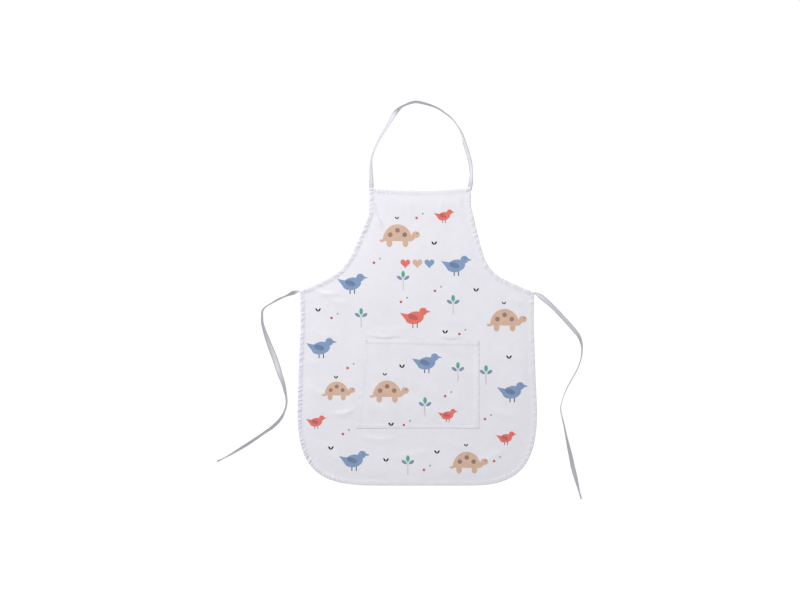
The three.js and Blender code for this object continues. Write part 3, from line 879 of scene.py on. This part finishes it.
def sheet_of(name, loop, rings, step, shapes, height_at, finish, thickness=CLOTH_THICKNESS):
    """A closed thin sheet over a flat outline, with inked faces where shapes are printed."""
    points, faces, inks = [Vector(p) for p in loop], [list(range(len(loop)))], [None]
    for ink, shape in shapes:
        first = len(points)
        points += [Vector(p) for p in (shape if signed_area(shape) > 0 else shape[::-1])]
        faces.append(list(range(first, len(points))))
        inks.append(ink)
    for distance in rings:
        points += [Vector(p) for p in inset(loop, distance)[::1 if distance < HEM_WIDTH * 1.2 else 2]]
    guides = crease_guides()
    guides = guides[inside(guides, loop)]
    guides = guides[near_edge(guides, loop)[0] > max(rings) + MM]
    points += [Vector(p) for p in np.vstack([grid_inside(loop, step, max(rings) + step / 2), guides])]
    flat, _, triangles, _, _, sources = delaunay_2d_cdt(points, [], faces, 1, 1e-6)
    flat = np.array([tuple(p) for p in flat])
    triangles = np.array(triangles)
    kept = [i for i, source in enumerate(sources) if source]
    triangles = triangles[kept]
    face_inks = [inks[max(sources[i])] for i in kept]
    used = np.unique(triangles)
    renumber = np.full(len(flat), -1)
    renumber[used] = np.arange(len(used))
    flat, triangles = flat[used], renumber[triangles]

    a, b, c = (flat[triangles[:, k]] for k in range(3))
    turn = (b - a)[:, 0] * (c - a)[:, 1] - (b - a)[:, 1] * (c - a)[:, 0]
    triangles[turn < 0] = triangles[turn < 0][:, ::-1]

    height = height_at(flat)
    top = np.column_stack([flat, height])
    bottom = np.column_stack([flat, height - thickness])
    count = len(flat)
    edges = np.vstack([triangles[:, [0, 1]], triangles[:, [1, 2]], triangles[:, [2, 0]]])
    known = {tuple(edge) for edge in edges.tolist()}
    border = [edge for edge in known if edge[::-1] not in known]
    sides = [(p, p + count, q + count, q) for p, q in sorted(border)]
    all_faces = triangles.tolist() + (triangles[:, ::-1] + count).tolist() + sides
    piece = make_piece(name, np.vstack([top, bottom]), all_faces, finish)
    for ink_finish in ink_finishes:
        piece.data.materials.append(ink_finish)
    slots = [0 if ink is None else 1 + ink_names.index(ink) for ink in face_inks]
    slots += [0] * (len(all_faces) - len(slots))
    piece.data.polygons.foreach_set("material_index", slots)
    rounded = [True] * (2 * len(triangles)) + [False] * len(sides)
    piece.data.polygons.foreach_set("use_smooth", rounded)
    set_flat_places(piece, np.vstack([flat, flat]))
    piece.data.update()
    print(name, "triangles:", 2 * len(triangles), "highest, mm:", round(height.max() / MM, 2))
    return piece


# %% [markdown]
# ## The pocket's outline
# The pocket is a second sheet sewn on three sides. Its outline is read from the frame's own pocket
# edge, whose outer corners are the four points furthest out along the diagonals.

# %% Pocket outline and which motifs belong to it
pocket_points = from_above(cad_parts["pocket_edge"].data)


def furthest(direction):
    return pocket_points[(pocket_points @ np.array(direction)).argmax()]


pocket_left_top, pocket_right_top = furthest((-1, 1.6)), furthest((1, 1.6))
pocket_low = pocket_points[:, 1].min()
pocket_left_x, pocket_right_x = pocket_points[:, 0].min(), pocket_points[:, 0].max()
pocket_corners = [pocket_left_top, furthest((-1, -1)), furthest((1, -1)), pocket_right_top]
pocket_loop = np.vstack([
    evenly(np.array([a, b]), 3.2 * MM)[:-1]
    for a, b in zip(pocket_corners, pocket_corners[1:] + pocket_corners[:1])
])


def on_pocket(shapes):
    centre = np.vstack([shape for _, shape in shapes]).mean(axis=0)
    return bool(inside(centre[None], pocket_loop)[0])


pocket_shapes = [shape for motif in motifs if on_pocket(motif) for shape in motif]
body_shapes = [shape for motif in motifs if not on_pocket(motif) for shape in motif]

# %% The body sheet
HEM_RINGS = [d * MM for d in (0.4, 1.0, 1.9, 3.4, 5.2, 7.0, 8.8, 10.4, 12.0, 13.8, 16.5, 20.0)]
GRID_STEP = 5.4 * MM
body_cloth = sheet_of("body_cloth", outline, HEM_RINGS, GRID_STEP, body_shapes, cloth_height, white_cloth)
set_shade(body_cloth, hem_shade(from_above(body_cloth.data)))

# %% [markdown]
# ## The pocket sheet
# The pocket lies on the skirt, so its height is the skirt's height and a little more. Its sewn
# border is a turned edge that is pressed down. Inside it the cloth stands off by a few millimetres
# and rises to the mouth, where nothing holds it down.

# %% Pocket height
POCKET_EDGE = 8 * MM
POCKET_TURNING = 12 * MM
POCKET_MOUTH_HEM = 11 * MM
POCKET_PUFF = 1.2 * MM
POCKET_THICKNESS = 0.3 * MM
POCKET_GAP = 0.05 * MM
EDGE_LAYER = 0.35 * MM
MOUTH_LIFT = 1.2 * MM
mouth_way = pocket_right_top - pocket_left_top
mouth_length = np.linalg.norm(mouth_way)
mouth_way = mouth_way / mouth_length
mouth_down = np.array((mouth_way[1], -mouth_way[0]))
pocket_height_y = pocket_left_top[1] - pocket_low
POCKET_CREASES = wander(4, 120 * MM, 45 * MM)


def pocket_place(points):
    """Share across the pocket from left to right, share up it, and distance below the mouth."""
    below = (points - pocket_left_top) @ mouth_down
    up = np.clip(1 - below / pocket_height_y, 0, 1)
    left = pocket_left_x + (pocket_left_top[0] - pocket_left_x) * up
    across = np.clip((points[:, 0] - left) / (pocket_right_x - left), 0, 1)
    return across, up, below


def sewn_distance(points):
    """Distance from the three sewn sides, leaving out the mouth."""
    across, up, below = pocket_place(points)
    width = pocket_right_x - pocket_left_x
    sides = np.minimum(across, 1 - across) * width
    bottom = pocket_height_y - below
    return np.minimum(sides, bottom)


def pocket_height(points):
    across, up, below = pocket_place(points)
    sewn = sewn_distance(points)
    _, along = near_edge(points, pocket_loop)
    inner = smoothstep(POCKET_EDGE - MM, POCKET_EDGE + 55 * MM, sewn)
    edge_layer = EDGE_LAYER * (1 - smoothstep(POCKET_TURNING - MM, POCKET_TURNING + 1.2 * MM, sewn))
    mouth_layer = LAYER * (1 - smoothstep(POCKET_MOUTH_HEM - MM, POCKET_MOUTH_HEM + 1.4 * MM, below))
    mouth = MOUTH_LIFT * smoothstep(0.75, 1.0, up) * smoothstep(0, 30 * MM, sewn)
    drift = 0.35 * MM * (1 + POCKET_CREASES(points @ np.array((0.35, 0.94)))) * inner
    middle = smoothstep(0.12, 0.3, across) * smoothstep(0.98, 0.8, across)
    sunk = EDGE_LAYER * middle * smoothstep(20 * MM, 0, pocket_height_y - below)
    groove = -0.2 * MM * np.exp(-(((sewn - POCKET_EDGE / 2) / (1.4 * MM)) ** 2))
    away = np.clip(1 - np.minimum(sewn, below) / (1.6 * MM), 0, 1)
    rounding = 0.15 * MM * (1 - np.sqrt(1 - away**2))
    return (cloth_height(points) + POCKET_THICKNESS + POCKET_GAP + edge_layer + mouth_layer + groove - sunk
            + POCKET_PUFF * inner * (0.4 + 0.6 * up) + mouth + drift - rounding
            + ripples(sewn + MM, along, 0.3))


# %% Pocket sheet
POCKET_RINGS = [d * MM for d in (0.6, 1.6, 3.2, 5.0, 7.0, 9.0, 10.4, 11.6, 12.8, 14.4, 17.0)]
pocket_cloth = sheet_of("pocket_cloth", pocket_loop, POCKET_RINGS, GRID_STEP, pocket_shapes, pocket_height,
                        pocket_cotton, POCKET_THICKNESS)

# %% [markdown]
# ## Turned hems
# Under the border of the cloth lie the two turned layers. Each hem is a low strip with a rounded
# outer fold, and it follows the same heights as the cloth above it, so the two stay in contact.

# %% Hem strips
HEM_UNDER = 0.7 * MM


def under_strip(name, spine, width, height_at, thickness, material=hem_cloth):
    """A flat strip on the left of a spine line, just under the cloth, with a rounded outer fold."""
    spine = evenly(spine, 3 * MM)
    inward = left_of(unit(np.gradient(spine, axis=0)))
    # Distance in from the edge, and share of the thickness down from the cloth's underside.
    inner = width / MM
    level = (0.5, 2.5, 5.5, 8.5, inner - 0.3)
    section = [(0.10, 0.5), (0.16, 0.12), *((distance, 0.0) for distance in level), (inner, 0.25),
               (inner, 0.8), *((distance, 1.0) for distance in reversed(level)), (0.16, 0.88)]
    ring, rows = len(section), len(spine)
    points = np.zeros((rows, ring, 3))
    for k, (distance, share) in enumerate(section):
        flat = spine + inward * distance * MM
        under = height_at(flat) - CLOTH_THICKNESS - 0.02 * MM
        points[:, k, :2] = flat
        points[:, k, 2] = np.maximum(under - thickness * share, TABLE_GAP / 2)
    points = points.reshape(-1, 3)
    piece = make_piece(name, points, tube_faces(rows, ring), material)
    set_flat_places(piece, points[:, :2])
    return piece


def trimmed(line, cut):
    """The line without this length at each end."""
    travelled = lengths_along(line)
    keep = (travelled > cut) & (travelled < travelled[-1] - cut)
    return line[keep]


CORNER_CUT = 13 * MM
hems = {name: under_strip(f"{name}_turned_hem", trimmed(line, CORNER_CUT if name != "bib_top" else 8 * MM),
                          HEM_WIDTH - 0.3 * MM, cloth_height, HEM_UNDER)
        for name, line in stretches.items()}
mouth_reach = mouth_way * POCKET_EDGE
mouth_line = np.array([pocket_right_top - mouth_reach, pocket_left_top + mouth_reach])
pocket_mouth_fold = under_strip("pocket_mouth_turned_hem", mouth_line, POCKET_MOUTH_HEM - 0.3 * MM,
                                pocket_height, 0.5 * MM)
print("hem strips:", len(hems) + 1)

# %% [markdown]
# ## Stitches
# A row of lockstitch is the same small thread repeated hundreds of times at an even step along a
# line, which is what Geometry Nodes are for. The tree takes a line that already lies on the cloth,
# puts a short bead of thread at each step, turns it along the line, and gives it its material.
# A bar tack is the same tree on a tight zigzag.

# %% The stitch tree
STITCH_STEP = 3.4 * MM
STITCH_LENGTH = 2.5 * MM
THREAD_WIDTH = 0.55 * MM
stitch_tree = bpy.data.node_groups.new("Stitches along a line", "GeometryNodeTree")
stitch_face = stitch_tree.interface
stitch_face.new_socket("Line", in_out="INPUT", socket_type="NodeSocketGeometry")
for label, value in (("Step", STITCH_STEP), ("Stitch Length", STITCH_LENGTH),
                     ("Thread Width", THREAD_WIDTH)):
    socket = stitch_face.new_socket(label, in_out="INPUT", socket_type="NodeSocketFloat")
    socket.default_value = value
stitch_face.new_socket("Finish", in_out="INPUT", socket_type="NodeSocketMaterial")
stitch_face.new_socket("Stitches", in_out="OUTPUT", socket_type="NodeSocketGeometry")
nodes = stitch_tree.nodes
tree_in, tree_out = nodes.new("NodeGroupInput"), nodes.new("NodeGroupOutput")
to_curve = nodes.new("GeometryNodeMeshToCurve")
to_points = nodes.new("GeometryNodeCurveToPoints")
to_points.mode = "LENGTH"
bead = nodes.new("GeometryNodeMeshUVSphere")
set_inputs(bead, {"Segments": 6, "Rings": 4, "Radius": 0.5})
bead_size = nodes.new("ShaderNodeCombineXYZ")
bead_scale = nodes.new("GeometryNodeTransform")
on_points = nodes.new("GeometryNodeInstanceOnPoints")
realize = nodes.new("GeometryNodeRealizeInstances")
finish_node = nodes.new("GeometryNodeSetMaterial")
smooth_node = nodes.new("GeometryNodeSetShadeSmooth")
connect(
    stitch_tree,
    (tree_in, "Line", to_curve, "Mesh"), (to_curve, "Curve", to_points, "Curve"),
    (tree_in, "Step", to_points, "Length"), (tree_in, "Thread Width", bead_size, "X"),
    (tree_in, "Thread Width", bead_size, "Y"), (tree_in, "Stitch Length", bead_size, "Z"),
    (bead, "Mesh", bead_scale, "Geometry"), (bead_size, "Vector", bead_scale, "Scale"),
    (to_points, "Points", on_points, "Points"), (bead_scale, "Geometry", on_points, "Instance"),
    (to_points, "Rotation", on_points, "Rotation"), (on_points, "Instances", realize, "Geometry"),
    (realize, "Geometry", smooth_node, "Geometry"), (smooth_node, "Geometry", finish_node, "Geometry"),
    (tree_in, "Finish", finish_node, "Material"), (finish_node, "Geometry", tree_out, "Stitches"),
)
print("stitch tree nodes:", len(nodes))


# %% Making one row of stitches
def stitch_row(name, line, step=STITCH_STEP, length=STITCH_LENGTH, thread=THREAD_WIDTH):
    """Stitches along a 3-D line, as a plain mesh."""
    carrier = make_piece(name, line, [], edges=[(i, i + 1) for i in range(len(line) - 1)])
    modifier = carrier.modifiers.new("stitches", "NODES")
    modifier.node_group = stitch_tree
    sockets = {item.name: item.identifier for item in stitch_face.items_tree if item.in_out == "INPUT"}
    for label, value in (("Step", step), ("Stitch Length", length), ("Thread Width", thread),
                         ("Finish", thread_finish)):
        modifier[sockets[label]] = value
    graph = bpy.context.evaluated_depsgraph_get()
    plain = bpy.data.meshes.new_from_object(carrier.evaluated_get(graph))
    carrier.modifiers.remove(modifier)
    carrier.data = plain
    set_flat_places(carrier, from_above(plain))
    return carrier


def on_cloth(line, height_at, lift=0.12 * MM):
    dense = evenly(line, 1.7 * MM)
    return np.column_stack([dense, height_at(dense) + lift])


def sewing_line(name, distance):
    """The line a distance in from one stretch of the outline."""
    first = stretch_start[name]
    whole = inset(outline, distance)
    return whole[np.arange(first, first + len(stretches[name])) % len(outline)]


SEAM_IN = HEM_WIDTH - 2 * MM
seams = {}
for name in stretches:
    line = trimmed(evenly(sewing_line(name, SEAM_IN), 2 * MM), 3 * MM)
    seams[name] = stitch_row(f"{name}_stitches", on_cloth(line, cloth_height))
print("stitched stretches:", len(seams))

# %% Pocket stitches
pocket_turns = inset(pocket_loop, POCKET_EDGE / 2)
mouth_start = int(np.linalg.norm(pocket_loop - pocket_right_top, axis=1).argmin())
sewn_line = pocket_turns[1:mouth_start]
pocket_stitches = stitch_row("pocket_edge_stitches", on_cloth(sewn_line, pocket_height))
mouth_inset, mouth_drop = mouth_way * 4 * MM, mouth_down * (POCKET_MOUTH_HEM - 2 * MM)
mouth_seam_line = np.array([pocket_left_top + mouth_inset, pocket_right_top - mouth_inset]) + mouth_drop
mouth_seam_line = evenly(mouth_seam_line, 2 * MM)
mouth_stitches = stitch_row("pocket_mouth_stitches", on_cloth(mouth_seam_line, pocket_height))


# %% Bar tacks
TACK_HALF_WIDTH = 1.3 * MM
TACK_TURNS = 22
TACK_LIFT = 0.25 * MM


def bar_tack(name, node, height_at, along_y):
    """A dense zigzag of thread over the frame's bar tack."""
    low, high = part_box(node)
    centre = np.array(((low.x + high.x) / 2, (low.y + high.y) / 2))
    long = (high.y - low.y if along_y else high.x - low.x) / 2
    zigzag = [(long * (2 * i / TACK_TURNS - 1), TACK_HALF_WIDTH * (1 if i % 2 else -1))
              for i in range(TACK_TURNS + 1)]
    flat = np.array([(v, u) if along_y else (u, v) for u, v in zigzag]) + centre
    line = np.column_stack([flat, height_at(flat) + TACK_LIFT])
    return stitch_row(name, evenly(line, 0.6 * MM), step=1.3 * MM, length=1.7 * MM, thread=0.6 * MM)


tacks = {}
for side in ("left", "right"):
    for place, height_at, along_y in (("neck", cloth_height, False), ("tie", cloth_height, True),
                                      ("pocket", pocket_height, True)):
        node = f"{side}_{place}_bar_tack"
        tacks[node] = bar_tack(f"{side}_{place}_tack", node, height_at, along_y)
print("bar tacks:", len(tacks))

# %% [markdown]
# ## Turned ends of the ties
# Each tie ends in a short piece folded back on itself, so the last centimetre is twice as thick.

# %% Tie ends
TIE_END_STATIONS = 6
TIE_END_WIDTH = TIE_WIDTH - 0.6 * MM
TIE_END_THICKNESS = 0.7 * MM
TIE_END_RISE = 0.85 * MM
tie_ends = {}
for side, route in (("left", LEFT_TIE_ROUTE), ("right", RIGHT_TIE_ROUTE)):
    last_stretch = tape_stations(route)[0][-TIE_END_STATIONS:]
    tie_ends[side], _ = ribbon(f"{side}_tie_end_fold", last_stretch, same_width(TIE_END_WIDTH),
                               thickness=TIE_END_THICKNESS, beside=TIE_END_RISE)

# %% [markdown]
# ## What moves with what
# On the real apron the bib folds over the skirt along the waist and the pocket's mouth opens; this
# script bends nothing. The pieces that belong to one body, the bib, the skirt or a tie, are parented
# to an empty for that body. The body sheet, the pocket, the neck tape and the pieces sewn along the
# armholes only have their transforms baked into their meshes.


def bend_at_waist(piece):
    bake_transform(piece)


bend_at_waist(body_cloth)
for name in ("left_armhole", "right_armhole"):
    bend_at_waist(hems[name])
    bend_at_waist(seams[name])
for name, body in (("bib_top", "bib"), ("left_side", "skirt"), ("right_side", "skirt"), ("bottom", "skirt")):
    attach(hems[name], body)
    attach(seams[name], body)

# %% The pocket's mouth
def bulge_with_mouth(piece):
    """Bakes the piece's transform into its mesh."""
    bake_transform(piece)


for piece in (pocket_cloth, pocket_mouth_fold, mouth_stitches):
    bulge_with_mouth(piece)
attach(pocket_stitches, "skirt")

# %% Tapes and tacks
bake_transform(neck_tape)
for side in ("left", "right"):
    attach(tapes[side][0], f"{side}_tie")
    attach(tie_ends[side], f"{side}_tie")
    for place, body in (("neck", "bib"), ("tie", "skirt"), ("pocket", "skirt")):
        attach(tacks[f"{side}_{place}_bar_tack"], body)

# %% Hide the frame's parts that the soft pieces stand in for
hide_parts("skirt_panel", "bib_panel")
for name in ("bib_top", "left_side", "right_side", "bottom"):
    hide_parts(f"{name}_hem")
    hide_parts(f"{name}_seam")
for side in ("left", "right"):
    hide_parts(f"{side}_armhole_hem", f"{side}_tie_casing")
    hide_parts(f"{side}_armhole_seam")
    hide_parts(f"{side}_waist_tie")
    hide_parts(f"{side}_tie_end_hem")
for node, piece in tacks.items():
    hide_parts(node)
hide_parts("neck_tape")
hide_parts("pocket_front", "pocket_edge")
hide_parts("pocket_mouth_hem")
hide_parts("pocket_edge_seam")
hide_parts("pocket_mouth_seam")

# %% [markdown]


# %% [markdown]
# ## Table and light
# The table is plain white and brighter than the cloth. It gives off its own even light over a dark
# base colour, so that the cloth and tapes throw next to no shadow on it. The light is soft: one large
# lamp stands to the left, low enough to rake across the cloth, because ripples and creases this
# shallow only show in slanting light. The rest comes evenly from all round.

# %% Table
REACH = 6
table_corners = [(-REACH, -REACH, 0), (REACH, -REACH, 0), (REACH, REACH, 0), (-REACH, REACH, 0)]
table = make_piece("table", table_corners, [(0, 1, 2, 3)])
table_finish = bpy.data.materials.new("white table")
table_finish.use_nodes = True
table_shader = table_finish.node_tree.nodes["Principled BSDF"]
set_inputs(table_shader, {"Base Color": (0.08, 0.08, 0.08, 1), "Roughness": 0.9,
                          "Emission Color": (1, 1, 1, 1), "Emission Strength": 0.95})
table.data.materials.append(table_finish)

# %% Light
world = bpy.data.worlds.new("soft room")
bpy.context.scene.world = world
world.use_nodes = True
set_inputs(world.node_tree.nodes["Background"], {"Color": (0.97, 0.98, 1.0, 1), "Strength": 0.47})


def soft_lamp(name, place, aim, size, power):
    data = bpy.data.lights.new(name, "AREA")
    data.shape = "SQUARE"
    data.size = size
    data.energy = power
    lamp = bpy.data.objects.new(name, data)
    lamp.location = place
    direction = Vector(aim) - Vector(place)
    lamp.rotation_euler = direction.to_track_quat("-Z", "Y").to_euler()
    bpy.context.scene.collection.objects.link(lamp)


soft_lamp("raking lamp", (-2.0, 2.4, 1.7), aim=(0, -0.1, 0), size=1.2, power=98)
soft_lamp("top lamp", (0.6, 0.6, 3.6), aim=(0, 0, 0), size=2.2, power=39)
bpy.context.scene.view_settings.view_transform = "Standard"
